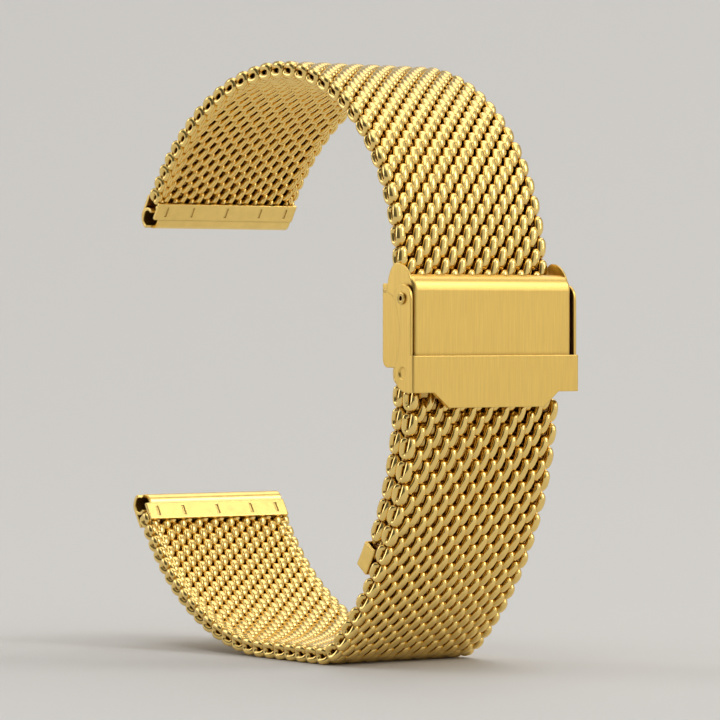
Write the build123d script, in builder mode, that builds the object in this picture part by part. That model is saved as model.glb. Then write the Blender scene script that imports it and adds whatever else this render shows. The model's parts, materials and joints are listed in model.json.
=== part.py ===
from build123d import *
import os
from math import cos, pi, radians, sin, sqrt

# Woven mesh band for a wrist watch, closed by a sliding hook clasp with a safety clip.
# It stands on the short strap with the gap for the watch at -X and the clasp at +X.
# Y is the width of the band, Z is up, and the floor is Z = 0. Lengths are in millimetres.

# Strap: woven coils that lie across the band, one row beside the next
strap_width = 19.6
mesh_thickness = 2.0
row_pitch = 1.2
lug_row_pitch = 1.0
row_relief = 0.22
row_crest_share = 0.4
knuckle_clearance = 0.06

# Side view of the short strap, measured on the middle of its thickness
foot_length = 11.4
back_radius = 28.8
back_turn = 56.8
lug_straight = 2.4
corner_turn = 40.0
clasp_reach = 16.65
hinge_height = 31.2

# Side view of the long strap, which lies inside the short one below the clasp
layer_gap = 0.1
tail_length = 21.8
arch_start_height = 41.8
front_arch_radius = 23.0
back_arch_radius = 30.1
back_arch_turn = 57.1

# Places where the mesh bends
foot_wing_turn = 14.0
tail_hinge_drop = 4.3
grip_top_height = 42.7

# Lug ends: a rolled tube for the spring bar and a plate clamped on the mesh
lug_width = 19.0
spring_bar_radius = 0.85
tube_wall = 0.35
tube_offset = 0.05
tube_mesh_gap = 0.1
leaf_thickness = 0.35
leaf_length = 2.4
plate_thickness = 0.35
plate_length = 2.1
tube_notch_length = 0.85
tube_notch_height = 1.3
crimp_length = 1.25
crimp_width = 0.28
crimp_depth = 0.1
crimp_place_shares = (-0.43, -0.245, 0, 0.245, 0.43)

# Folded cap on the end of the tail
cap_length = 3.1
cap_wall = 0.28

# Slider: a folded channel round the long strap
slider_height = 8.9
slider_bottom = 32.3
slider_wall = 0.22
slider_bridge = 0.35
side_clearance = 0.1
lip_gap = 0.55
lip_thickness = 0.35
lip_width = 1.8
slider_corner = 0.9
bridge_height = 7.0

# Hook bar of the slider, on which the cover hooks and swings
bar_radius = 1.0
bar_pin_radius = 0.5
bar_height = 40.45
ear_rise = 0.42
hook_clearance = 0.2

# Locking flap on the wrist side of the slider
flap_pin_radius = 0.25
flap_pin_height = 40.4
flap_knuckle_wall = 0.22
flap_clearance = 0.04
flap_length = 7.3
flap_thickness = 0.35
flap_side_gap = 0.1
pry_notch_width = 4.0
pry_notch_depth = 0.5

# Cover: front plate, curled hook and two cheeks
cover_sheet = 0.5
cover_bottom = 30.1
cheek_thickness = 0.22
plate_gap = 0.03
curl_turn = 90.0
cheek_head_width = 4.9
cheek_head_rise = 2.9
cheek_head_drop = 0.2
cheek_crown_share = 0.6
cheek_stem_width = 2.0
cheek_bottom = 32.0
cover_edge_radius = 0.4

# Hinge between the cover and the end of the short strap
strap_pin_radius = 0.5
strap_pin_fit = 0.02
end_tube_radius = 0.95
end_tube_clearance = 0.05
end_tube_half = 8.3
hinge_lug_gap = 0.1
hinge_lug_thickness = 0.5
hinge_lug_radius = 0.88
hinge_web_height = 1.2

# Safety clip: two arms on rivets and a crosspiece with a thumb tab
clip_gap = 0.1
clip_sheet = 0.5
clip_arm_thickness = 0.3
clip_arm_gap = 0.28
clip_pivot_height = 39.6
clip_head_radius = 1.5
clip_arm_bottom = 29.7
crosspiece_height = 3.9
tab_height = 1.6
tab_root_half = 8.2
tab_tip_half = 6.25
waist_depth = 0.95
clip_corner = 2.3
clip_edge_radius = 0.25
dimple_radius = 0.5
dimple_depth = 0.15
dimple_rise = 2.1
dimple_flare = 45.0

# Rivets of the safety clip
rivet_radius = 0.35
rivet_clearance = 0.05
rivet_head_radius = 0.62
rivet_head_height = 0.2
rivet_hole_radius = 0.26
rivet_hole_depth = 0.35

cut_overrun = 1.0

# Places across the thickness of the clasp, counted from the left end of the foot
half_thickness = mesh_thickness / 2
half_width = strap_width / 2
short_x = foot_length + clasp_reach
long_x = short_x - mesh_thickness - layer_gap
bridge_in = long_x + half_thickness + side_clearance
bridge_out = bridge_in + slider_bridge
bar_x = bridge_out + bar_radius
curl_in = bar_radius + hook_clearance
curl_out = curl_in + cover_sheet
cover_out = bar_x + curl_out
cover_in = cover_out - cover_sheet
clip_in = cover_out + clip_gap
clip_out = clip_in + clip_sheet
lip_in = long_x - half_thickness - lip_gap
lip_out = lip_in - lip_thickness
clip_pivot_x = clip_in - clip_head_radius

# Places across the width of the clasp
wall_in = half_width + side_clearance
wall_out = wall_in + slider_wall
cheek_in = wall_out + plate_gap
cheek_out = cheek_in + cheek_thickness
arm_in = cheek_out + clip_arm_gap
arm_out = arm_in + clip_arm_thickness

# Radii of the front of the short strap, from its reach and its rise
turn = radians(corner_turn)
curl = radians(curl_turn)
rise = hinge_height - half_thickness
front_radius = (rise * sin(turn) - clasp_reach * (1 - cos(turn))) / (sin(turn) + cos(turn) - 1)
corner_radius = (clasp_reach - front_radius * (1 - sin(turn))) / sin(turn)

# The band is centred on the origin between the lower lug tube and the safety clip
tube_radius = spring_bar_radius + tube_wall
back = radians(back_turn)
tube_x = -back_radius * sin(back) - lug_straight * cos(back) - tube_offset * sin(back)
centre_x = (tube_x - tube_radius + clip_out) / 2


def travel(place, length, radius):
    """Moves a place (x, z, heading) along a straight, or along a left-hand arc of a radius."""
    x, z, heading = place
    if radius == 0:
        return x + length * cos(heading), z + length * sin(heading), heading
    ahead = heading + length / radius
    return (
        x + radius * (sin(ahead) - sin(heading)),
        z - radius * (cos(ahead) - cos(heading)),
        ahead,
    )


def station(path, s):
    """The place at a length s along a path, which is a start and its (length, radius) runs."""
    place, runs = path
    for length, radius in runs:
        if s <= length:
            return travel(place, s, radius)
        place = travel(place, length, radius)
        s -= length
    return travel(place, s, 0)


def spot(path, s, out):
    """The point at a length s along a path and a distance out of the loop, as (x, z)."""
    x, z, heading = station(path, s)
    return x + out * sin(heading), z - out * cos(heading)


def end_plane(path, s, direction):
    """A plane on the strap's middle: its x runs along the strap and its y out of the loop."""
    x, z, heading = station(path, s)
    along = Vector(cos(heading), 0, sin(heading)) * direction
    outward = Vector(sin(heading), 0, -cos(heading))
    return Plane(origin=(x, 0, z), x_dir=along, z_dir=along.cross(outward))


# The short strap's path runs from the lower lug down to the foot and up to the clasp
back_arc = back_radius * back
corner_arc = corner_radius * turn
front_arc = front_radius * (pi / 2 - turn)
short_start = (
    -centre_x - back_radius * sin(back) - lug_straight * cos(back),
    half_thickness + back_radius * (1 - cos(back)) + lug_straight * sin(back),
    -back,
)
short_path = (
    short_start,
    [
        (lug_straight, 0),
        (back_arc, back_radius),
        (foot_length, 0),
        (corner_arc, corner_radius),
        (front_arc, front_radius),
    ],
)
short_length = lug_straight + back_arc + foot_length + corner_arc + front_arc
foot_start_s = lug_straight + back_arc - back_radius * radians(foot_wing_turn)
foot_end_s = lug_straight + back_arc + foot_length + corner_arc

# The long strap's path runs from the end of the tail up through the slider to the upper lug
tail_radius = front_radius - mesh_thickness - layer_gap
tail_turn = tail_length / tail_radius
long_straight = arch_start_height - hinge_height
front_arch = front_arch_radius * pi / 2
back_arch = back_arch_radius * radians(back_arch_turn)
long_start = (
    long_x - centre_x - tail_radius * (1 - cos(tail_turn)),
    hinge_height - tail_radius * sin(tail_turn),
    pi / 2 - tail_turn,
)
long_path = (
    long_start,
    [
        (tail_length, tail_radius),
        (long_straight, 0),
        (front_arch, front_arch_radius),
        (back_arch, back_arch_radius),
        (lug_straight, 0),
    ],
)
long_length = tail_length + long_straight + front_arch + back_arch + lug_straight
tail_hinge_s = tail_length - tail_hinge_drop
grip_end_s = tail_length + grip_top_height - hinge_height
top_s = tail_length + long_straight + front_arch


def row_side(path, start, step, rows, side):
    """The points of one face of the woven rows, seen from the side: one flat crest a row."""
    crest = side * half_thickness
    valley = side * (half_thickness - row_relief)
    shoulder = step * (1 - row_crest_share) / 2
    points = [spot(path, start, valley)]
    for i in range(rows):
        s = start + i * step
        points.append(spot(path, s + shoulder, crest))
        points.append(spot(path, s + step - shoulder, crest))
        points.append(spot(path, s + step, valley))
    return points


def mesh_rows(path, start, stop, pitch, label):
    """A stretch of mesh between two lengths along a path, with plain ends."""
    rows = max(1, round((stop - start) / pitch))
    step = (stop - start) / rows
    outer = row_side(path, start, step, rows, 1)
    inner = row_side(path, start, step, rows, -1)
    with BuildPart() as mesh:
        with BuildSketch(Plane.XZ):
            with BuildLine():
                Polyline(*outer, *reversed(inner), close=True)
            make_face()
        extrude(amount=half_width, both=True)
    mesh.part.label = label
    return mesh.part


def add_knuckle(part, path, s):
    """Adds the round end on which the next stretch of mesh turns."""
    with BuildPart() as mesh:
        add(part)
        with BuildSketch(Plane.XZ):
            with Locations(spot(path, s, 0)):
                Circle(half_thickness)
        extrude(amount=half_width, both=True)
    mesh.part.label = part.label
    return mesh.part


def cut_seat(part, path, s, radius):
    """Cuts the hollow end that holds a round of the given radius at a length along the path."""
    with BuildPart() as mesh:
        add(part)
        with BuildSketch(Plane.XZ):
            with Locations(spot(path, s, 0)):
                Circle(radius)
        extrude(amount=half_width + cut_overrun, both=True, mode=Mode.SUBTRACT)
    mesh.part.label = part.label
    return mesh.part


def lug_tube(path, s, direction, label):
    """The sheet rolled into the spring bar's tube, with the leaf that backs the mesh."""
    plane = end_plane(path, s, direction)
    leaf_out = half_thickness + leaf_thickness
    with BuildPart() as tube:
        with BuildSketch(plane):
            with Locations((0, tube_offset)):
                Circle(tube_radius)
            with Locations((-leaf_length / 2, half_thickness + leaf_thickness / 2)):
                Rectangle(leaf_length, leaf_thickness)
        extrude(amount=lug_width / 2, both=True)
        with BuildSketch(plane):
            with Locations((0, tube_offset)):
                Circle(spring_bar_radius)
        extrude(amount=lug_width / 2 + cut_overrun, both=True, mode=Mode.SUBTRACT)
        for side in (1, -1):
            notch = plane.offset(side * (lug_width / 2 - tube_notch_length))
            with BuildSketch(notch):
                with Locations((0, tube_offset - leaf_out)):
                    Rectangle(tube_notch_height, 2 * leaf_out)
            extrude(amount=side * (tube_notch_length + cut_overrun), mode=Mode.SUBTRACT)
    tube.part.label = label
    return tube.part


def clamp_plate(path, s, direction, label):
    """The flat plate clamped on the inner face of the mesh, with its row of crimp marks."""
    plane = end_plane(path, s, direction)
    seat = sqrt(tube_radius**2 - (half_thickness + tube_offset) ** 2)
    middle = -seat - plate_length / 2
    face = Plane(
        origin=plane.from_local_coords(Vector(middle, -half_thickness - plate_thickness, 0)),
        x_dir=Vector(0, 1, 0),
        z_dir=plane.y_dir * -1,
    )
    with BuildPart() as plate:
        with BuildSketch(face):
            Rectangle(lug_width, plate_length)
        extrude(amount=-plate_thickness)
        with BuildSketch(face):
            with Locations([(share * lug_width, 0) for share in crimp_place_shares]):
                Rectangle(crimp_width, crimp_length)
        extrude(amount=-crimp_depth, mode=Mode.SUBTRACT)
    plate.part.label = label
    return plate.part


def band_outline(path, start, stop, thickness):
    """The side view of a smooth stretch of band between two lengths along a path."""
    middle = (start + stop) / 2
    half = thickness / 2
    with BuildSketch() as outline:
        with BuildLine():
            for side in (half, -half):
                ThreePointArc(
                    spot(path, start, side),
                    spot(path, middle, side),
                    spot(path, stop, side),
                )
            Line(spot(path, start, half), spot(path, start, -half))
            Line(spot(path, stop, half), spot(path, stop, -half))
        make_face()
    return outline.sketch


def cap_pocket():
    """The room inside the end cap, which the thin end of the tail fills."""
    with BuildPart() as pocket:
        with BuildSketch(Plane.XZ):
            add(band_outline(long_path, cap_wall, cap_length, mesh_thickness - 2 * cap_wall))
        extrude(amount=half_width - cap_wall, both=True)
    return pocket.part


def tail_rows():
    """The tail of the long strap, with a thin tongue for its end cap."""
    tail = mesh_rows(long_path, cap_length, tail_hinge_s, row_pitch, "tail_mesh")
    with BuildPart() as mesh:
        add(tail)
        add(cap_pocket())
    mesh.part.label = tail.label
    return mesh.part


def tail_cap():
    """The folded cap that closes the end of the tail, as thick as the mesh."""
    with BuildPart() as cap:
        with BuildSketch(Plane.XZ):
            add(band_outline(long_path, 0, cap_length, mesh_thickness))
        extrude(amount=half_width, both=True)
        add(cap_pocket(), mode=Mode.SUBTRACT)
    cap.part.label = "tail_end_cap"
    return cap.part


def end_tube():
    """The tube on the end of the short strap, which turns on the strap hinge pin."""
    x, z = short_x - centre_x, hinge_height
    with BuildPart() as tube:
        with BuildSketch(Plane.XZ):
            with Locations((x, z)):
                Circle(end_tube_radius)
                Circle(strap_pin_radius + end_tube_clearance, mode=Mode.SUBTRACT)
        extrude(amount=end_tube_half, both=True)
    tube.part.label = "strap_end_tube"
    return tube.part


def hinge_pin():
    """The pin through the cover's two lugs and the tube on the short strap."""
    reach = end_tube_half + hinge_lug_gap + hinge_lug_thickness
    with BuildPart() as pin:
        with BuildSketch(Plane.XZ):
            with Locations((short_x - centre_x, hinge_height)):
                Circle(strap_pin_radius)
        extrude(amount=reach, both=True)
    pin.part.label = "strap_hinge_pin"
    return pin.part


def mirrored_plates(outline, inner, thickness):
    """A pair of upright plates of one side view, one on each side of the band."""
    with BuildPart() as pair:
        with BuildSketch(Plane.XZ.offset(inner)):
            add(outline)
        extrude(amount=thickness)
        mirror(about=Plane.XZ)
    return pair.part


def slider_wall_outline():
    """The side view of a slider wall, with its ear round the end of the hook bar."""
    top = slider_bottom + slider_height
    front = bridge_out - centre_x
    rear = lip_out - centre_x
    bar = bar_x - centre_x
    step = bar - curl_out - side_clearance
    with BuildSketch() as outline:
        with BuildLine():
            FilletPolyline(
                (front, slider_bottom),
                (rear, slider_bottom),
                (rear, top),
                (step, top),
                radius=(slider_corner, slider_wall),
            )
            Polyline(
                (step, top),
                (step, bar_height + ear_rise),
                (bar, bar_height + ear_rise),
                (bar, bar_height - bar_radius),
                (front, bar_height - 2 * bar_radius),
                (front, slider_bottom),
            )
        make_face()
        with Locations((bar, bar_height)):
            Circle(bar_radius)
            Circle(bar_pin_radius, mode=Mode.SUBTRACT)
        with Locations((lip_in - centre_x, flap_pin_height)):
            Circle(flap_pin_radius, mode=Mode.SUBTRACT)
    return outline.sketch


def slider_frame():
    """The folded channel: side walls with ears, a bridge in front and lips on the wrist side."""
    lip_x = (lip_in + lip_out) / 2 - centre_x
    lip_y = wall_in - lip_width / 2
    lip_bottom = slider_bottom + slider_corner
    with BuildPart() as frame:
        add(mirrored_plates(slider_wall_outline(), wall_in, slider_wall))
        with BuildSketch(Plane.XY.offset(bar_height - bridge_height)):
            with Locations(((bridge_in + bridge_out) / 2 - centre_x, 0)):
                Rectangle(slider_bridge, 2 * wall_in)
        extrude(amount=bridge_height)
        with BuildSketch(Plane.XY.offset(lip_bottom)):
            with Locations((lip_x, lip_y), (lip_x, -lip_y)):
                Rectangle(lip_thickness, lip_width)
        extrude(amount=flap_pin_height - 2 * flap_pin_radius - lip_bottom)
    frame.part.label = "slider_frame"
    return frame.part


def hook_bar():
    """The bar across the slider, stepped down where it is riveted into the ears."""
    with BuildPart() as bar:
        with BuildSketch(Plane.XZ):
            with Locations((bar_x - centre_x, bar_height)):
                Circle(bar_radius)
        extrude(amount=wall_in, both=True)
        with BuildSketch(Plane.XZ):
            with Locations((bar_x - centre_x, bar_height)):
                Circle(bar_pin_radius)
        extrude(amount=wall_out, both=True)
    bar.part.label = "hook_bar"
    return bar.part


def flap_pin():
    """The thin pin on which the locking flap turns."""
    with BuildPart() as pin:
        with BuildSketch(Plane.XZ):
            with Locations((lip_in - centre_x, flap_pin_height)):
                Circle(flap_pin_radius)
        extrude(amount=wall_out, both=True)
    pin.part.label = "lock_flap_pin"
    return pin.part


def lock_flap():
    """The flap that presses on the long strap, with a rolled knuckle and a notch to pry it open."""
    half = wall_in - lip_width - flap_side_gap
    bore = flap_pin_radius + flap_clearance
    x = lip_in - centre_x
    with BuildPart() as flap:
        with BuildSketch(Plane.XZ):
            with Locations((x, flap_pin_height)):
                Circle(bore + flap_knuckle_wall)
            with Locations((x - flap_thickness / 2, flap_pin_height - flap_length / 2)):
                Rectangle(flap_thickness, flap_length)
            with Locations((x, flap_pin_height)):
                Circle(bore, mode=Mode.SUBTRACT)
        extrude(amount=half, both=True)
        with BuildSketch(Plane.YZ.offset(x - flap_thickness - cut_overrun)):
            with Locations((0, flap_pin_height - flap_length)):
                Rectangle(pry_notch_width, 2 * pry_notch_depth)
        extrude(amount=flap_thickness + 2 * cut_overrun, mode=Mode.SUBTRACT)
    flap.part.label = "lock_flap"
    return flap.part


def cheek_outline():
    """The side view of a cheek: a round head beside the hook bar and a narrow stem."""
    front = cover_out - cover_edge_radius - centre_x
    head_rear = cover_out - cheek_head_width - centre_x
    head_top = bar_height + cheek_head_rise
    head_bottom = bar_height - cheek_head_drop
    stem_rear = cover_out - cheek_stem_width - centre_x
    crown = (front - head_rear) * cheek_crown_share
    with BuildSketch() as outline:
        with BuildLine():
            Line((front, cheek_bottom), (front, head_bottom))
            EllipticalCenterArc(
                (front - crown, head_bottom),
                crown,
                head_top - head_bottom,
                start_angle=0,
                arc_size=90,
            )
            EllipticalCenterArc(
                (front - crown, head_bottom),
                front - crown - head_rear,
                head_top - head_bottom,
                start_angle=90,
                arc_size=90,
            )
            Polyline(
                (head_rear, head_bottom),
                (stem_rear, head_bottom - bar_radius),
                (stem_rear, cheek_bottom),
                (front, cheek_bottom),
            )
        make_face()
        with Locations((clip_pivot_x - centre_x, clip_pivot_height)):
            Circle(rivet_radius, mode=Mode.SUBTRACT)
    return outline.sketch


def hinge_lug_outline():
    """The side view of a hinge lug: a round eye for the pin, joined to the front plate."""
    with BuildSketch() as outline:
        with Locations((short_x - centre_x, hinge_height)):
            Circle(hinge_lug_radius)
        with Locations(((short_x + cover_in) / 2 - centre_x, hinge_height)):
            Rectangle(cover_in - short_x, hinge_web_height)
        with Locations((short_x - centre_x, hinge_height)):
            Circle(strap_pin_radius + strap_pin_fit, mode=Mode.SUBTRACT)
    return outline.sketch


def clasp_cover():
    """The cover: a front plate curled over the hook bar, two cheeks and two hinge lugs."""
    bar = bar_x - centre_x
    with BuildPart() as cover:
        with BuildSketch(Plane.XZ):
            with Locations(((cover_in + cover_out) / 2 - centre_x, (cover_bottom + bar_height) / 2)):
                Rectangle(cover_sheet, bar_height - cover_bottom)
            with BuildLine():
                CenterArc((bar, bar_height), curl_out, 0, curl_turn)
                CenterArc((bar, bar_height), curl_in, 0, curl_turn)
                Line((bar + curl_in, bar_height), (bar + curl_out, bar_height))
                Line(
                    (bar + curl_in * cos(curl), bar_height + curl_in * sin(curl)),
                    (bar + curl_out * cos(curl), bar_height + curl_out * sin(curl)),
                )
            make_face()
        extrude(amount=cheek_out, both=True)
        corners = cover.edges().filter_by(Axis.Z).group_by(Axis.X)[-1]
        fillet(corners, radius=cover_edge_radius)
        add(mirrored_plates(cheek_outline(), cheek_in, cheek_thickness))
        lug_in = end_tube_half + hinge_lug_gap
        add(mirrored_plates(hinge_lug_outline(), lug_in, hinge_lug_thickness))
    cover.part.label = "clasp_cover"
    return cover.part


def clip_arm_outline():
    """The side view of a clip arm: a round head, a waist and a rounded foot."""
    pivot = clip_pivot_x - centre_x
    front = clip_in - centre_x
    rear = pivot - clip_head_radius
    waist_z = (clip_pivot_height + clip_arm_bottom) / 2
    heel_z = clip_arm_bottom + clip_corner
    with BuildSketch() as outline:
        with BuildLine():
            Line((front, clip_arm_bottom), (front, clip_pivot_height))
            ThreePointArc(
                (front, clip_pivot_height),
                ((front + rear) / 2, clip_pivot_height + (front - rear) / 2),
                (rear, clip_pivot_height),
            )
            ThreePointArc(
                (rear, clip_pivot_height),
                (rear + waist_depth, waist_z),
                (rear, heel_z),
            )
            ThreePointArc(
                (rear, heel_z),
                (rear + clip_corner * (1 - cos(pi / 4)), heel_z - clip_corner * sin(pi / 4)),
                (rear + clip_corner, clip_arm_bottom),
            )
            Line((rear + clip_corner, clip_arm_bottom), (front, clip_arm_bottom))
        make_face()
        with Locations((pivot, clip_pivot_height)):
            Circle(rivet_radius + rivet_clearance, mode=Mode.SUBTRACT)
    return outline.sketch


def safety_clip():
    """The safety clip: two arms on the rivets, a crosspiece and a thumb tab."""
    cross_top = clip_arm_bottom + crosspiece_height
    tab_bottom = clip_arm_bottom - tab_height
    dimple_z = clip_arm_bottom + dimple_rise
    with BuildPart() as clip:
        with BuildSketch(Plane.YZ.offset(clip_in - centre_x)):
            with BuildLine():
                Polyline(
                    (-arm_out, cross_top),
                    (-arm_out, clip_arm_bottom),
                    (-tab_root_half, clip_arm_bottom),
                    (-tab_tip_half, tab_bottom),
                    (tab_tip_half, tab_bottom),
                    (tab_root_half, clip_arm_bottom),
                    (arm_out, clip_arm_bottom),
                    (arm_out, cross_top),
                    close=True,
                )
            make_face()
        extrude(amount=clip_sheet)
        corners = clip.edges().filter_by(Axis.Z).group_by(Axis.X)[-1]
        fillet(corners, radius=clip_edge_radius)
        add(mirrored_plates(clip_arm_outline(), arm_in, clip_arm_thickness))
        with BuildSketch(Plane.XZ.offset(arm_out - dimple_depth)):
            with Locations((clip_pivot_x - centre_x, dimple_z)):
                Circle(dimple_radius)
        extrude(amount=cut_overrun, taper=-dimple_flare, mode=Mode.SUBTRACT)
        with BuildSketch(Plane.XZ.offset(dimple_depth - arm_out)):
            with Locations((clip_pivot_x - centre_x, dimple_z)):
                Circle(dimple_radius)
        extrude(amount=-cut_overrun, taper=-dimple_flare, mode=Mode.SUBTRACT)
    clip.part.label = "safety_clip"
    return clip.part


def safety_rivet(side, label):
    """A tubular rivet through one clip arm and cheek, on the side given as 1 (near) or -1."""
    place = (clip_pivot_x - centre_x, clip_pivot_height)
    grip = arm_out - cheek_in
    with BuildPart() as rivet:
        with BuildSketch(Plane.XZ.offset(side * cheek_in)):
            with Locations(place):
                Circle(rivet_radius)
        extrude(amount=side * (grip + rivet_head_height))
        with BuildSketch(Plane.XZ.offset(side * arm_out)):
            with Locations(place):
                Circle(rivet_head_radius)
        extrude(amount=side * rivet_head_height)
        with BuildSketch(Plane.XZ.offset(side * (arm_out + rivet_head_height - rivet_hole_depth))):
            with Locations(place):
                Circle(rivet_hole_radius)
        extrude(amount=side * (rivet_hole_depth + cut_overrun), mode=Mode.SUBTRACT)
    rivet.part.label = label
    return rivet.part


# Short strap
foot = mesh_rows(short_path, foot_start_s, foot_end_s, row_pitch, "lower_mesh_foot")
foot = add_knuckle(add_knuckle(foot, short_path, foot_start_s), short_path, foot_end_s)
seat_radius = half_thickness + knuckle_clearance
lower_end_s = tube_radius + tube_mesh_gap
lower_left = mesh_rows(short_path, lower_end_s, foot_start_s, lug_row_pitch, "lower_mesh_left")
lower_left = cut_seat(lower_left, short_path, foot_start_s, seat_radius)
strap_end_s = short_length - end_tube_radius
lower_right = mesh_rows(short_path, foot_end_s, strap_end_s, row_pitch, "lower_mesh_right")
lower_right = cut_seat(lower_right, short_path, foot_end_s, seat_radius)

# Long strap
grip = mesh_rows(long_path, tail_hinge_s, grip_end_s, row_pitch, "upper_mesh_grip")
grip = add_knuckle(add_knuckle(grip, long_path, tail_hinge_s), long_path, grip_end_s)
upper_right = mesh_rows(long_path, grip_end_s, top_s, row_pitch, "upper_mesh_right")
upper_right = cut_seat(upper_right, long_path, grip_end_s, seat_radius)
upper_right = add_knuckle(upper_right, long_path, top_s)
upper_end_s = long_length - tube_radius - tube_mesh_gap
upper_left = mesh_rows(long_path, top_s, upper_end_s, lug_row_pitch, "upper_mesh_left")
upper_left = cut_seat(upper_left, long_path, top_s, seat_radius)
tail = cut_seat(tail_rows(), long_path, tail_hinge_s, seat_radius)

pieces = [
    foot,
    lower_left,
    lower_right,
    grip,
    upper_right,
    upper_left,
    tail,
    tail_cap(),
    lug_tube(short_path, 0, -1, "lower_lug_tube"),
    clamp_plate(short_path, 0, -1, "lower_clamp_plate"),
    lug_tube(long_path, long_length, 1, "upper_lug_tube"),
    clamp_plate(long_path, long_length, 1, "upper_clamp_plate"),
    end_tube(),
    hinge_pin(),
    slider_frame(),
    hook_bar(),
    flap_pin(),
    lock_flap(),
    clasp_cover(),
    safety_clip(),
    safety_rivet(1, "safety_rivet_near"),
    safety_rivet(-1, "safety_rivet_far"),
]

os.makedirs("parts", exist_ok=True)
for piece in pieces:
    export_step(piece, f"parts/{piece.label}.step")

print(f"front radius {front_radius:.2f}, corner radius {corner_radius:.2f}, centre {centre_x:.2f}")
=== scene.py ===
import json
from math import asin, cos, pi, radians, sin

import bmesh
import bpy
import numpy as np
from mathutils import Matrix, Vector
from mathutils.geometry import tessellate_polygon


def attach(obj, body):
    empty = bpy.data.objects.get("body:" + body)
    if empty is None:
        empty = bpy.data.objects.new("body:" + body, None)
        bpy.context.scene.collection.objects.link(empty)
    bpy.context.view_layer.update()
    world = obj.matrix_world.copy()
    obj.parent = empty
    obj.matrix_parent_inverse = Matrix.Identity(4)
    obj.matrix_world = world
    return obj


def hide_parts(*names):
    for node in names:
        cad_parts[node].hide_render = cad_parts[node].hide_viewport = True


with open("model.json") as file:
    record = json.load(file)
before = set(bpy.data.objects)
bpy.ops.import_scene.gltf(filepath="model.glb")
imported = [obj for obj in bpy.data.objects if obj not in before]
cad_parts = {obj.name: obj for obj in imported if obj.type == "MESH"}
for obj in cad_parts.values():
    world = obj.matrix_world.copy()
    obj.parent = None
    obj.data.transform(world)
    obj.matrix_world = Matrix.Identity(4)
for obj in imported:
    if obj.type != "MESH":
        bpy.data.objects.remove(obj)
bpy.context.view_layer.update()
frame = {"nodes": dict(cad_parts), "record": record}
nodes = frame["nodes"]

MM = 0.001

# The strap's middle line, in millimetres, with the same values as the CAD source
mesh_thickness = 2.0
foot_length = 11.4
back_radius = 28.8
back_turn = radians(56.8)
lug_straight = 2.4
corner_turn = radians(40.0)
clasp_reach = 16.65
hinge_height = 31.2
layer_gap = 0.1
tail_length = 21.8
arch_start_height = 41.8
front_arch_radius = 23.0
back_arch_radius = 30.1
back_arch_turn = radians(57.1)
foot_wing_turn = radians(14.0)
tail_hinge_drop = 4.3
grip_top_height = 42.7
tube_radius = 1.2
tube_offset = 0.05
clip_reach = 4.75
half_thickness = mesh_thickness / 2
short_x = foot_length + clasp_reach
long_x = short_x - mesh_thickness - layer_gap
rise = hinge_height - half_thickness
front_radius = (rise * sin(corner_turn) - clasp_reach * (1 - cos(corner_turn))) / (
    sin(corner_turn) + cos(corner_turn) - 1
)
corner_radius = (clasp_reach - front_radius * (1 - sin(corner_turn))) / sin(corner_turn)
tube_x = -back_radius * sin(back_turn) - lug_straight * cos(back_turn) - tube_offset * sin(back_turn)
clip_out = long_x + clip_reach
centre_x = (tube_x - tube_radius + clip_out) / 2


def travel(place, length, radius):
    """A place (x, z, heading) moved on along a straight, or along an arc where radius isn't 0."""
    x, z, heading = place
    if radius == 0:
        return x + length * cos(heading), z + length * sin(heading), heading
    ahead = heading + length / radius
    return x + radius * (sin(ahead) - sin(heading)), z - radius * (cos(ahead) - cos(heading)), ahead


def station(path, s):
    """The place (x, z, heading) at length s along a path."""
    place, runs = path
    for length, radius in runs:
        if s <= length:
            return travel(place, s, radius)
        place = travel(place, length, radius)
        s -= length
    return travel(place, s, 0)


def onto_path(path, s, points):
    """Points given as (along, out, across) from length s of a path, as x, y and z."""
    x, z, heading = station(path, s)
    along, out, across = points.T
    bent_x = x + along * cos(heading) + out * sin(heading)
    bent_z = z + along * sin(heading) - out * cos(heading)
    return np.stack([bent_x, across, bent_z], 1)


# The short strap, from its lug end over the foot and up to the clasp
back_arc = back_radius * back_turn
corner_arc = corner_radius * corner_turn
front_arc = front_radius * (pi / 2 - corner_turn)
short_path = (
    (
        -centre_x - back_radius * sin(back_turn) - lug_straight * cos(back_turn),
        half_thickness + back_radius * (1 - cos(back_turn)) + lug_straight * sin(back_turn),
        -back_turn,
    ),
    [
        (lug_straight, 0),
        (back_arc, back_radius),
        (foot_length, 0),
        (corner_arc, corner_radius),
        (front_arc, front_radius),
    ],
)
short_length = lug_straight + back_arc + foot_length + corner_arc + front_arc
foot_start_s = lug_straight + back_arc - back_radius * foot_wing_turn
foot_end_s = lug_straight + back_arc + foot_length + corner_arc

# The long strap, from its tail up through the clasp and over to its lug end
tail_radius = front_radius - mesh_thickness - layer_gap
tail_turn = tail_length / tail_radius
long_straight = arch_start_height - hinge_height
front_arch = front_arch_radius * pi / 2
back_arch = back_arch_radius * back_arch_turn
long_path = (
    (
        long_x - centre_x - tail_radius * (1 - cos(tail_turn)),
        hinge_height - tail_radius * sin(tail_turn),
        pi / 2 - tail_turn,
    ),
    [
        (tail_length, tail_radius),
        (long_straight, 0),
        (front_arch, front_arch_radius),
        (back_arch, back_arch_radius),
        (lug_straight, 0),
    ],
)
long_length = tail_length + long_straight + front_arch + back_arch + lug_straight
tail_hinge_s = tail_length - tail_hinge_drop
grip_end_s = tail_length + grip_top_height - hinge_height
top_s = tail_length + long_straight + front_arch


def add_object(name, data):
    """A new object in the scene."""
    thing = bpy.data.objects.new(name, data)
    bpy.context.scene.collection.objects.link(thing)
    return thing


def add_piece(name, mesh, material, body, node):
    """A visible piece that rides on a body in place of a CAD node."""
    piece = add_object(name, mesh)
    mesh.materials.append(material)
    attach(piece, body)
    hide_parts(node)


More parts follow.
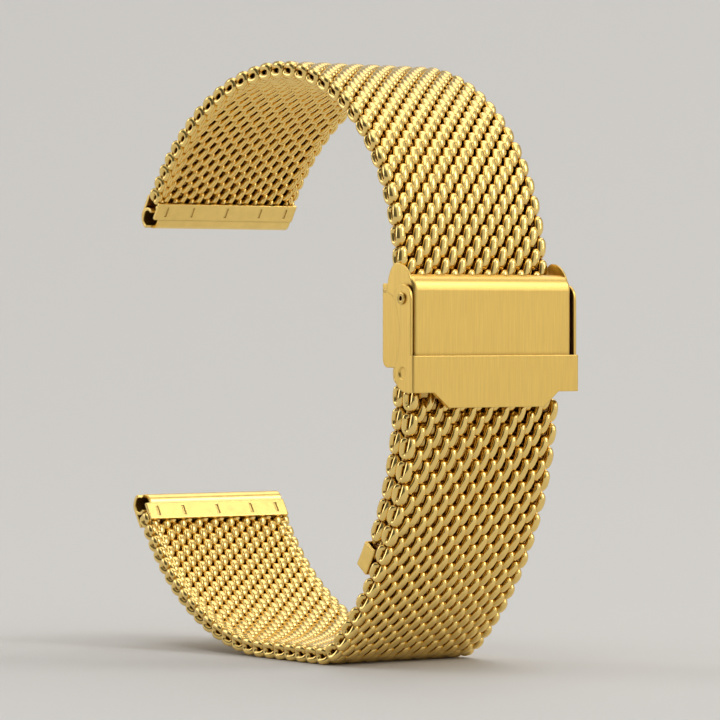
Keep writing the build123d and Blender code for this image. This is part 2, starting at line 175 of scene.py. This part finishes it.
def slot_of(node):
    """The material slot that the record gives a node."""
    return next(s["material_slot"] for s in frame["record"]["subparts"] if s["node"] == node)


def eased(share):
    """A share from 0 to 1 that starts and stops softly."""
    return share * share * (3 - 2 * share)


def signed_power(value, power):
    """A power that keeps the sign of its value."""
    return np.sign(value) * np.abs(value) ** power


# The golds, with linear colours, and lengths in metres:
# worn_roughness: the shares of its roughness between which a gold's gloss varies
# worn_stops: the values of the noise between which its tone varies
# grain_depth, broken_edge: depth of the brushing, radius of the edges of sheet
# seam_shade_reach, seam_shade_fade: width of a seam or corner that gets painted shade, and how closed it has
# to be
worn_roughness = (0.8, 1.2)
worn_stops = (0.3, 0.7)
grain_depth = 0.00002
broken_edge = 0.00016
seam_shade_reach = 0.0006
seam_shade_fade = (0.25, 0.8)
soft_samples = 6
# The next two colours are painted shade: the dark that seams and corners of the sheet, and the inside of the
# weave, go over to.
seam_shade_color = (0.22, 0.09, 0.015)
weave_shade_color = (0.30, 0.13, 0.02)


def wear_noise(tree, scale):
    """Fine noise in the object's own space, stretched by scale."""
    coords = tree.nodes.new("ShaderNodeTexCoord")
    mapping = tree.nodes.new("ShaderNodeMapping")
    mapping.inputs["Scale"].default_value = scale
    noise = tree.nodes.new("ShaderNodeTexNoise")
    noise.name = "wear"
    noise.inputs["Scale"].default_value = 1.0
    noise.inputs["Detail"].default_value = 3.0
    tree.links.new(coords.outputs["Object"], mapping.inputs["Vector"])
    tree.links.new(mapping.outputs["Vector"], noise.inputs["Vector"])
    return noise.outputs["Fac"]


def break_edges(tree, radius):
    """Lets the light round off a material's edges."""
    bevel = tree.nodes.new("ShaderNodeBevel")
    bevel.samples = soft_samples
    bevel.inputs["Radius"].default_value = radius
    tree.links.new(bevel.outputs["Normal"], tree.nodes["Principled BSDF"].inputs["Normal"])


def brush(tree, strength):
    """Lets the wear stand up as brushing, on top of the broken edges."""
    normal = tree.nodes["Principled BSDF"].inputs["Normal"]
    bump = tree.nodes.new("ShaderNodeBump")
    bump.inputs["Strength"].default_value = strength
    bump.inputs["Distance"].default_value = grain_depth
    tree.links.new(tree.nodes["wear"].outputs["Fac"], bump.inputs["Height"])
    tree.links.new(normal.links[0].from_socket, bump.inputs["Normal"])
    tree.links.new(bump.outputs["Normal"], normal)


def gold(name, roughness, color, tones=(0.93, 1.05), scale=(900, 900, 900)):
    """Gold plating with slight wear in its gloss and tone."""
    material = bpy.data.materials.new(name)
    material.use_nodes = True
    tree = material.node_tree
    shader = tree.nodes["Principled BSDF"]
    shader.inputs["Metallic"].default_value = 1.0
    wear = wear_noise(tree, scale)
    gloss = tree.nodes.new("ShaderNodeMapRange")
    gloss.inputs["To Min"].default_value = roughness * worn_roughness[0]
    gloss.inputs["To Max"].default_value = roughness * worn_roughness[1]
    tree.links.new(wear, gloss.inputs["Value"])
    tree.links.new(gloss.outputs["Result"], shader.inputs["Roughness"])
    ramp = tree.nodes.new("ShaderNodeValToRGB")
    for stop, tone, place in zip(ramp.color_ramp.elements, tones, worn_stops):
        stop.color = (*[min(1, c * tone) for c in color], 1)
        stop.position = place
    tree.links.new(wear, ramp.inputs["Fac"])
    tree.links.new(ramp.outputs["Color"], shader.inputs["Base Color"])
    return material


def darken(tree, deep, open_share):
    """Paints shade: lets a material's colour go over to deep where open_share goes to 0."""
    base_color = tree.nodes["Principled BSDF"].inputs["Base Color"]
    mix = tree.nodes.new("ShaderNodeMix")
    mix.data_type = "RGBA"
    mix.inputs["A"].default_value = (*deep, 1)
    tree.links.new(open_share, mix.inputs["Factor"])
    tree.links.new(base_color.links[0].from_socket, mix.inputs["B"])
    tree.links.new(mix.outputs["Result"], base_color)


def shade_depth(tree, deep):
    """Paints shade: lets the colour go over to deep inside the weave, where the wires shade each other."""
    depth = tree.nodes.new("ShaderNodeAttribute")
    depth.attribute_name = "open_face"
    darken(tree, deep, depth.outputs["Fac"])


def paint_seam_shade(tree, deep, reach):
    """Paints shade: lets the colour go over to deep in seams and corners narrower than reach, where less
    light gets in.
    """
    seam = tree.nodes.new("ShaderNodeAmbientOcclusion")
    seam.samples = soft_samples
    seam.inputs["Distance"].default_value = reach
    open_share = tree.nodes.new("ShaderNodeMapRange")
    open_share.inputs["From Min"].default_value = seam_shade_fade[0]
    open_share.inputs["From Max"].default_value = seam_shade_fade[1]
    tree.links.new(seam.outputs["AO"], open_share.inputs["Value"])
    darken(tree, deep, open_share.outputs["Result"])


def sheet_gold(name, roughness, color, tones=(0.93, 1.05), scale=(900, 900, 900), grain=0.0):
    """Gold plating for sheet and pins, with broken edges and painted shade in its seams and corners, brushed
    where grain is given.
    """
    material = gold(name, roughness, color, tones, scale)
    tree = material.node_tree
    break_edges(tree, broken_edge)
    if grain:
        brush(tree, grain)
    paint_seam_shade(tree, seam_shade_color, seam_shade_reach)
    return material


wire_gold = gold("wire_gold", 0.13, (0.98, 0.70, 0.235))
# The inside of the weave gets painted shade.
shade_depth(wire_gold.node_tree, weave_shade_color)
polished_gold = sheet_gold("polished_gold", 0.14, (0.96, 0.665, 0.195))
satin_gold = sheet_gold("satin_gold", 0.32, (0.89, 0.605, 0.165), (0.93, 1.06), (9000, 9000, 250), 0.25)
# The clamp plates and lug sheets get the same plating in a paler colour than the other golds: painted light
# that brightens them.
plate_gold_painted_light = sheet_gold("plate_gold_painted_light", 0.24, (0.98, 0.69, 0.22))

# The weave: flattened coils that lie across the band, each hooked into the next, in millimetres.
# Each ends in a closed ring at either edge of the band, and has a flat wire through its loops.
# turn_pitch: how far a coil goes across the band in one turn; end_turns: its turns on each side
# skin_out: how far out of the band's middle its skin lies
# loop_power: squares its loops off; bend_power: how late in a bend the way across is made up
# bend_half, bend_out: half width and half thickness of the wire in the bends
# tip_sizes: the wire's size at its first and last two rings of points
# edge_ring, edge_soft, edge_stagger: where it stops at an edge, how softly, how much sooner on one side
# ring_turns, ring_ease, ring_narrowing: turns of a closed ring, turns it closes over, how much it narrows
# edge_shade_lift: how far inside edge_ring the painted shade is lifted again, and over what distance
# core_out, core_clearance, core_end: the flat wire's half thickness, room in the loop, and end
turn_pitch = 2.2
end_turns = 4.75
points_per_turn = 20
wire_sides = 12
skin_out = 0.99
loop_power = 0.7
bend_power = 5
bend_half = 0.38
bend_out = 0.38
tip_sizes = (0.55, 0.9)
edge_ring = 9.3
edge_soft = 0.12
edge_stagger = 0.5
ring_turns = 1.1
ring_ease = 0.5
ring_narrowing = 0.16
edge_shade_lift = (0.05, 0.3)
core_out = 0.24
core_clearance = 0.02
core_end = edge_ring - 0.6
spacing_steps = 500

# Rows lie closer near the watch than by the clasp: (length along the strap, row pitch)
short_pitch = [
    (0, 0.8), (6, 0.82), (14, 0.92), (22, 1.06), (46, 1.0),
    (55, 1.06), (62, 1.2), (70, 1.3), (80, 1.32),
]
long_pitch = [
    (0, 1.2), (30, 1.25), (41, 1.16), (47, 1.12), (57, 1.12), (63, 1.18),
    (80, 1.22), (86.5, 1.06), (91, 0.95), (95, 0.84), (106, 0.8),
]

# The wire is pressed wide on one face of each strap and narrow on the other:
# outer, inner: half width and half thickness on that face
# lean: what is taken out of the lean of the outer face and of both
# slant: how much of its way across a loop goes on the outer face, the rest in the bends
# flat: how flat the section is; narrow: how soon the wire narrows towards a bend
# overlap: how far a loop reaches past the middle of the next row
# painted_shade: how far out of the band's middle the wire gets painted shade, and over what depth that
# painted shade fades out
short_wire = {
    "outer": (0.44, 0.38),
    "inner": (0.54, 0.44),
    "lean": (0.1, 0.65),
    "slant": 0.55,
    "flat": 0.8,
    "narrow": 0.5,
    "painted_shade": {"outer": (0.05, 0.35), "inner": (0.38, 0.3)},
    "overlap": 0.12,
}
long_wire = {
    "outer": (0.58, 0.45),
    "inner": (0.34, 0.36),
    "lean": (0.1, 0.5),
    "slant": 0.62,
    "flat": 0.95,
    "narrow": 0.8,
    "painted_shade": {"outer": (0.36, 0.36), "inner": (0.15, 0.4)},
    "overlap": 0.2,
}


def coil_phases():
    """The turning angle along a coil, 0 at the middle of an outer face."""
    return np.linspace(-end_turns, end_turns, int(2 * end_turns * points_per_turn) + 1) * 2 * pi


def share_of_faces(angle, outer, inner, bend, narrow=1.0):
    """A value that is outer at the outer face, inner at the inner face and bend between them."""
    turn = np.cos(angle)
    face = np.where(turn > 0, outer, inner)
    return bend + (face - bend) * np.abs(turn) ** narrow


def ring_share(angle):
    """1 in the closed ring at each end of a coil, 0 along the rest of it."""
    return eased(np.clip(np.abs(angle) / (2 * pi) - (end_turns - ring_turns), 0, ring_ease) / ring_ease)


def sideways(angle, wire):
    """How far a coil has gone across the band, in a straight line along each outer face."""
    one, two = wire["lean"]
    inner = angle - one * np.sin(angle) - two / 2 * np.sin(2 * angle)
    middle = np.round(angle / (2 * pi)) * 2 * pi
    local = angle - middle
    bends = (local / (pi / 2)) ** bend_power
    share = wire["slant"] * signed_power(np.sin(local), loop_power) + (1 - wire["slant"]) * bends
    outer = middle + (pi / 2 - one) * share
    return turn_pitch / (2 * pi) * np.where(np.cos(angle) > 0, outer, inner)


def coil_middle(angle, half, wire, parity):
    """The middle line of a coil as (along, out, across), with a closed ring at each end."""
    along = half * signed_power(np.sin(angle), loop_power) * (1 - ring_narrowing * ring_share(angle))
    loop_out = skin_out - share_of_faces(angle, wire["outer"][1], wire["inner"][1], bend_out)
    out = loop_out * signed_power(np.cos(angle), loop_power)
    shift = turn_pitch / 4 * (1 if parity == 0 else -1)
    across = shift + sideways(angle, wire)
    low = -edge_ring + (edge_stagger if parity == 0 else 0)
    high = edge_ring - (edge_stagger if parity == 1 else 0)
    across = low + edge_soft * np.logaddexp(0, (across - low) / edge_soft)
    across = high - edge_soft * np.logaddexp(0, (high - across) / edge_soft)
    return np.stack([along, out, across], 1)


def skin(angle, line, wire):
    """Skin of a wire swept along a coil's middle line, as rings of points."""
    tangent = np.gradient(line, axis=0)
    tangent /= np.linalg.norm(tangent, axis=1)[:, None]
    radial = np.cross(np.array([0.0, 0.0, 1.0]), tangent)
    radial /= np.linalg.norm(radial, axis=1)[:, None]
    side = np.cross(tangent, radial)
    size = np.ones(len(angle))
    size[:2] = tip_sizes
    size[-2:] = tip_sizes[::-1]
    width = size * share_of_faces(angle, wire["outer"][0], wire["inner"][0], bend_half, wire["narrow"])
    thick = size * share_of_faces(angle, wire["outer"][1], wire["inner"][1], bend_out)
    turn = (np.arange(wire_sides) + 0.5) * 2 * pi / wire_sides
    out = thick[:, None, None] * signed_power(np.cos(turn), wire["flat"])[None, :, None] * radial[:, None, :]
    aside = width[:, None, None] * signed_power(np.sin(turn), wire["flat"])[None, :, None] * side[:, None, :]
    return (line[:, None, :] + out + aside).reshape(-1, 3)


def core(half):
    """A flat wire straight across the band inside the loops, as rings of points like a coil's."""
    turn = np.arange(wire_sides) * 2 * pi / wire_sides
    section = np.stack([half * np.cos(turn), core_out * np.sin(turn)], 1)
    ends = [np.column_stack([section, np.full(wire_sides, y)]) for y in (-core_end, core_end)]
    return np.concatenate(ends)


def wire_faces(points, start):
    """Faces of a wire whose rings of points begin at index start: its sides, then its two ends."""
    row = np.arange(points // wire_sides - 1)[:, None] * wire_sides
    side = np.arange(wire_sides)[None, :]
    ahead = (side + 1) % wire_sides
    corners = [row + side, row + ahead, row + wire_sides + ahead, row + wire_sides + side]
    quads = np.stack(corners, -1).reshape(-1, 4) + start
    first_end = list(range(start + wire_sides - 1, start - 1, -1))
    last_end = list(range(start + points - wire_sides, start + points))
    return [*quads.tolist(), first_end, last_end]


def openness(out, across, painted_shade):
    """Painted shade mask: 0 where the wire gets painted shade inside the weave, 1 on its two faces and its
    two edges.
    """
    outer = np.clip((out - painted_shade["outer"][0]) / painted_shade["outer"][1], 0, 1)
    inner = np.clip((-out - painted_shade["inner"][0]) / painted_shade["inner"][1], 0, 1)
    edge = np.clip((np.abs(across) - edge_ring + edge_shade_lift[0]) / edge_shade_lift[1], 0, 1)
    return np.maximum(outer + inner, edge)


def weave(name, path, places, halves, first, wire, body, node):
    """One stretch of woven mesh: a coil at each place along the path, staggered row by row."""
    angle = coil_phases()
    verts, faces, depth = [], [], []
    count = 0
    for i, (s, half) in enumerate(zip(places, halves)):
        coil = skin(angle, coil_middle(angle, half, wire, (first + i) % 2), wire)
        seat = (half + bend_out) / 2
        for place, points in ((s, coil), (s + seat, core(seat - core_clearance))):
            verts.append(onto_path(path, place, points))
            depth.append(openness(points[:, 1], points[:, 2], wire["painted_shade"]))
            faces += wire_faces(len(points), count)
            count += len(points)
    mesh = bpy.data.meshes.new(name)
    mesh.from_pydata((np.concatenate(verts) * MM).tolist(), [], faces)
    mesh.polygons.foreach_set("use_smooth", [True] * len(faces))
    # The painted shade mask goes to the shader as open_face.
    mesh.attributes.new("open_face", "FLOAT", "POINT").data.foreach_set("value", np.concatenate(depth))
    mesh.update()
    add_piece(name, mesh, wire_gold, body, node)


def spaced(start, stop, pitches):
    """Row places from start to stop, both included, spaced by the pitch table."""
    grid = np.linspace(start, stop, spacing_steps)
    rate = 1 / np.interp(grid, *zip(*pitches))
    count = np.concatenate([[0], np.cumsum((rate[1:] + rate[:-1]) / 2 * np.diff(grid))])
    rows = max(1, round(float(count[-1])))
    return list(np.interp(np.arange(rows + 1) / rows * count[-1], count, grid))


def weave_strap(path, stretches, pitches, wire, index):
    """All stretches of a strap, with its rows staggered on from the given index."""
    for name, start, stop, own_first, own_last, body, node in stretches:
        places = spaced(start, stop, pitches)
        steps = np.gradient(np.array(places))
        halves = [step - bend_out + wire["overlap"] for step in steps]
        first = 0 if own_first else 1
        last = len(places) if own_last else len(places) - 1
        weave(name, path, places[first:last], halves[first:last], index + first, wire, body, node)
        index += len(places) - 1


# Where the rows start and stop, clear of the lug tubes, the tail's cap and the end tube
tube_gap = 0.1
lug_row_clearance = 0.82
cap_length = 3.1
cap_row_clearance = 0.6
end_tube_radius = 0.95
end_row_clearance = 1.3
lug_row_s = tube_radius + tube_gap + lug_row_clearance
tail_row_s = cap_length + cap_row_clearance
end_row_s = short_length - end_tube_radius - end_row_clearance

# Stretches of each strap: name, start, stop, whether the first and last rows are its own, body and node
short_stretches = [
    ("lower_weave_left", lug_row_s, foot_start_s, True, False, "lower_left", "lower_mesh_left"),
    ("lower_weave_foot", foot_start_s, foot_end_s, True, True, "foot", "lower_mesh_foot"),
    ("lower_weave_right", foot_end_s, end_row_s, False, True, "lower_right", "lower_mesh_right"),
]
long_stretches = [
    ("tail_weave", tail_row_s, tail_hinge_s, True, False, "tail", "tail_mesh"),
    ("grip_weave", tail_hinge_s, grip_end_s, True, True, "grip", "upper_mesh_grip"),
    ("upper_weave_right", grip_end_s, top_s, False, True, "upper_right", "upper_mesh_right"),
    ("upper_weave_left", top_s, long_length - lug_row_s, False, True, "upper_left", "upper_mesh_left"),
]
weave_strap(short_path, short_stretches, short_pitch, short_wire, 1)
weave_strap(long_path, long_stretches, long_pitch, long_wire, 0)

# The sheet of a lug end, in millimetres: a leaf on the mesh that rolls into a tube round the spring bar.
# roll_start, leaf_swell: the angle where the roll starts, and the angles between which it leaves the leaf
# notch_length, notch_half, notch_drop, notch_past: the notch's length along the tube, half its width,
# how far below the tube's middle it stops, and how far its cutter goes past the sheet
lug_width = 19.0
bar_radius = 0.85
leaf_thickness = 0.35
leaf_length = 2.4
tip_steps = 8
roll_steps = 48
roll_start = radians(95)
leaf_swell = (radians(30), radians(90))
notch_length = 0.85
notch_half = 1.5
notch_drop = 0.25
notch_past = 0.5
sharp_angle = radians(35)


def lug_section():
    """Outline of the sheet as (along, out), and of the bore in its tube."""
    tip = leaf_thickness / 2
    outline = []
    for i in range(tip_steps + 1):
        a = -pi / 2 - pi * i / tip_steps
        outline.append((-leaf_length + tip + tip * cos(a), half_thickness + tip + tip * sin(a)))
    meet = pi - asin((half_thickness - tube_offset) / tube_radius)
    leaf_rise = half_thickness + leaf_thickness - tube_offset - tube_radius
    swell_turn = leaf_swell[1] - leaf_swell[0]
    for i in range(roll_steps + 1):
        a = roll_start + (meet - 2 * pi - roll_start) * i / roll_steps
        radius = tube_radius + leaf_rise * eased(min(1, max(0, (a - leaf_swell[0]) / swell_turn)))
        outline.append((radius * cos(a), tube_offset + radius * sin(a)))
    around = np.arange(roll_steps) * 2 * pi / roll_steps
    bore = [(bar_radius * cos(a), tube_offset + bar_radius * sin(a)) for a in around]
    return outline, bore


def prism(name, loops, low, high):
    """A straight piece with the given outline and holes, as a mesh in (along, out, across)."""
    points = [p for loop in loops for p in loop]
    flat = tessellate_polygon([[Vector((*p, 0)) for p in loop] for loop in loops])
    shape = bmesh.new()
    ends = [[shape.verts.new((*p, y)) for p in points] for y in (low, high)]
    for a, b, c in flat:
        shape.faces.new((ends[0][a], ends[0][b], ends[0][c]))
        shape.faces.new((ends[1][c], ends[1][b], ends[1][a]))
    start = 0
    for loop in loops:
        ring = range(start, start + len(loop))
        for i, j in zip(ring, [*ring[1:], start]):
            shape.faces.new((ends[0][i], ends[0][j], ends[1][j], ends[1][i])).smooth = True
        start += len(loop)
    bmesh.ops.recalc_face_normals(shape, faces=shape.faces)
    mesh = bpy.data.meshes.new(name)
    shape.to_mesh(mesh)
    shape.free()
    return mesh


def cut_mesh(name, body_mesh, tool_mesh):
    """The first mesh with the second cut out of it."""
    whole, tool = (add_object(name, mesh) for mesh in (body_mesh, tool_mesh))
    whole.modifiers.new("cut", "BOOLEAN").object = tool
    bpy.context.view_layer.update()
    depsgraph = bpy.context.evaluated_depsgraph_get()
    result = bpy.data.meshes.new_from_object(whole.evaluated_get(depsgraph))
    for piece in (whole, tool):
        bpy.data.objects.remove(piece)
    return result


def lug_end(name, path, s, direction, body, node):
    """A lug end's rolled sheet, with the notch that opens the tube at its near end."""
    sheet = prism(name, lug_section(), -lug_width / 2, lug_width / 2)
    low, high = tube_offset - tube_radius - notch_past, tube_offset - notch_drop
    corners = [(-notch_half, low), (notch_half, low), (notch_half, high), (-notch_half, high)]
    notch = prism(name, [corners], -lug_width / 2 - 2 * notch_past, -lug_width / 2 + notch_length)
    mesh = cut_mesh(name, sheet, notch)
    points = np.array([vertex.co for vertex in mesh.vertices]) * (direction, 1, 1)
    mesh.vertices.foreach_set("co", (onto_path(path, s, points) * MM).ravel())
    mesh.update()
    if direction < 0:
        mesh.flip_normals()
    mesh.set_sharp_from_angle(angle=sharp_angle)
    add_piece(name, mesh, plate_gold_painted_light, body, node)


# The tail's cap: edges that fold less than flat_angle are dropped, those over fold_angle are rounded
same_point = 1e-7
flat_angle = radians(1.0)
fold_angle = radians(40)
fold_radius = 0.3 * MM
fold_steps = 4


def rounded_copy(name, radius, body, node):
    """A piece in the shape of a CAD node, with its outer folds rounded."""
    shape = bmesh.new()
    shape.from_mesh(nodes[node].data)
    shape.transform(nodes[node].matrix_world)
    bmesh.ops.remove_doubles(shape, verts=shape.verts, dist=same_point)
    bmesh.ops.dissolve_limit(shape, angle_limit=flat_angle, verts=shape.verts, edges=shape.edges)
    folds = [e for e in shape.edges if e.is_manifold and e.is_convex and e.calc_face_angle() > fold_angle]
    bmesh.ops.bevel(
        shape,
        geom=folds,
        offset=radius,
        segments=fold_steps,
        profile=0.5,
        affect="EDGES",
        clamp_overlap=True,
    )
    mesh = bpy.data.meshes.new(name)
    shape.to_mesh(mesh)
    shape.free()
    add_piece(name, mesh, polished_gold, body, node)


rounded_copy("tail_cap", fold_radius, "tail", "tail_end_cap")
lug_end("lower_lug_sheet", short_path, 0, -1, "lower_left", "lower_lug_tube")
lug_end("upper_lug_sheet", long_path, long_length, 1, "upper_left", "upper_lug_tube")

# The CAD nodes that stay visible
for node, piece in nodes.items():
    if piece.hide_render:
        continue
    material = satin_gold if slot_of(node) == "brushed_sheet" else polished_gold
    # The clamp plates take the paler gold, as painted light.
    if "clamp_plate" in node:
        material = plate_gold_painted_light
    piece.data.materials.clear()
    piece.data.materials.append(material)

# The photograph's angle, with the floor and its backdrop squared up to it, in metres.
# dark_side: the cosines to the dark side's direction between which the tent goes from pale to dark
view_azimuth = radians(55)
view_elevation = radians(0.55)
view_distance = 0.4705
view_target = Vector((3.37, 0, 32.9)) * MM
lamp_target = Vector((0, 0, 0.03))
dark_side = (0.4, 0.85)
tent_color = (1, 0.985, 0.955)
floor_color = (0.705, 0.691, 0.671)
floor_shade = 0.99
floor_front = -2.0
floor_half_width = 3.0
backdrop_distance = 1.5
backdrop_height = 2.6
backdrop_bend = 1.1
bend_steps = 32


def paper(name, color, roughness):
    """Plain matt paper with a faint unevenness."""
    material = bpy.data.materials.new(name)
    material.use_nodes = True
    tree = material.node_tree
    shader = tree.nodes["Principled BSDF"]
    shader.inputs["Roughness"].default_value = roughness
    shader.inputs["Specular IOR Level"].default_value = 0.2
    noise = tree.nodes.new("ShaderNodeTexNoise")
    noise.inputs["Scale"].default_value = 3.0
    ramp = tree.nodes.new("ShaderNodeValToRGB")
    ramp.color_ramp.elements[0].color = (*[c * floor_shade for c in color], 1)
    ramp.color_ramp.elements[1].color = (*color, 1)
    tree.links.new(noise.outputs["Fac"], ramp.inputs["Fac"])
    tree.links.new(ramp.outputs["Color"], shader.inputs["Base Color"])
    return material


def backdrop():
    """The floor, curved up into a backdrop behind the band."""
    bend_start = backdrop_distance - backdrop_bend
    profile = [(floor_front, 0.0), (bend_start, 0.0)]
    for i in range(1, bend_steps + 1):
        a = i / bend_steps * pi / 2
        profile.append((bend_start + backdrop_bend * sin(a), backdrop_bend - backdrop_bend * cos(a)))
    profile.append((backdrop_distance, backdrop_height))
    away = Vector((-sin(view_azimuth), cos(view_azimuth), 0))
    across = Vector((cos(view_azimuth), sin(view_azimuth), 0))
    up = Vector((0, 0, 1))
    sides = (-floor_half_width, floor_half_width)
    verts = [away * d + across * w + up * h for d, h in profile for w in sides]
    faces = [(2 * i, 2 * i + 1, 2 * i + 3, 2 * i + 2) for i in range(len(profile) - 1)]
    mesh = bpy.data.meshes.new("backdrop")
    mesh.from_pydata(verts, [], faces)
    mesh.polygons.foreach_set("use_smooth", [True] * len(faces))
    floor = add_object("backdrop", mesh)
    mesh.materials.append(paper("backdrop_grey", floor_color, 0.7))


def area(name, place, size, radiance):
    """A softbox that faces the band, with its brightness given as radiance."""
    data = bpy.data.lights.new(name, "AREA")
    data.shape = "RECTANGLE"
    data.size, data.size_y = size
    data.energy = radiance * pi * size[0] * size[1]
    lamp = add_object(name, data)
    lamp.location = place
    lamp.rotation_euler = (lamp_target - Vector(place)).to_track_quat("-Z", "Y").to_euler()


def studio(pale, dark, side):
    """A pale tent with one dark side."""
    world = bpy.data.worlds.new("studio")
    bpy.context.scene.world = world
    world.use_nodes = True
    tree = world.node_tree
    coords = tree.nodes.new("ShaderNodeTexCoord")
    dot = tree.nodes.new("ShaderNodeVectorMath")
    dot.operation = "DOT_PRODUCT"
    dot.inputs[1].default_value = Vector(side).normalized()
    tree.links.new(coords.outputs["Generated"], dot.inputs[0])
    ramp = tree.nodes.new("ShaderNodeMapRange")
    ramp.interpolation_type = "SMOOTHSTEP"
    ramp.inputs["From Min"].default_value = dark_side[0]
    ramp.inputs["From Max"].default_value = dark_side[1]
    ramp.inputs["To Min"].default_value = pale
    ramp.inputs["To Max"].default_value = dark
    tree.links.new(dot.outputs["Value"], ramp.inputs["Value"])
    background = tree.nodes["Background"]
    background.inputs["Color"].default_value = (*tent_color, 1)
    tree.links.new(ramp.outputs["Result"], background.inputs["Strength"])


def photo_camera():
    """A camera at the photograph's angle."""
    data = bpy.data.cameras.new("camera")
    data.sensor_width = 36
    data.lens = 212.6
    data.clip_start = 0.01
    data.clip_end = 10
    camera = add_object("camera", data)
    level = cos(view_elevation)
    forward = Vector((-sin(view_azimuth) * level, cos(view_azimuth) * level, -sin(view_elevation)))
    camera.location = view_target - forward * view_distance
    camera.rotation_mode = "QUATERNION"
    camera.rotation_quaternion = forward.to_track_quat("-Z", "Y")
    return camera


backdrop()
area("back", (-0.6, 0.8, 1.5), (1.2, 1.2), 1.1)
area("right", (1.2, 1.0, 1.3), (0.65, 0.8), 3.5)
area("top", (0.3, -0.1, 2.0), (1.4, 1.4), 1.0)
area("front", (1.35, 0.95, 0.55), (0.32, 0.42), 2.6)
area("left", (-1.3, -0.9, 0.55), (0.8, 0.8), 1.5)
studio(0.71, 0.1, (0.25, -0.96, 0.12))

scene = bpy.context.scene
scene.view_settings.view_transform = "Standard"
scene.view_settings.look = "None"
scene.camera = photo_camera()
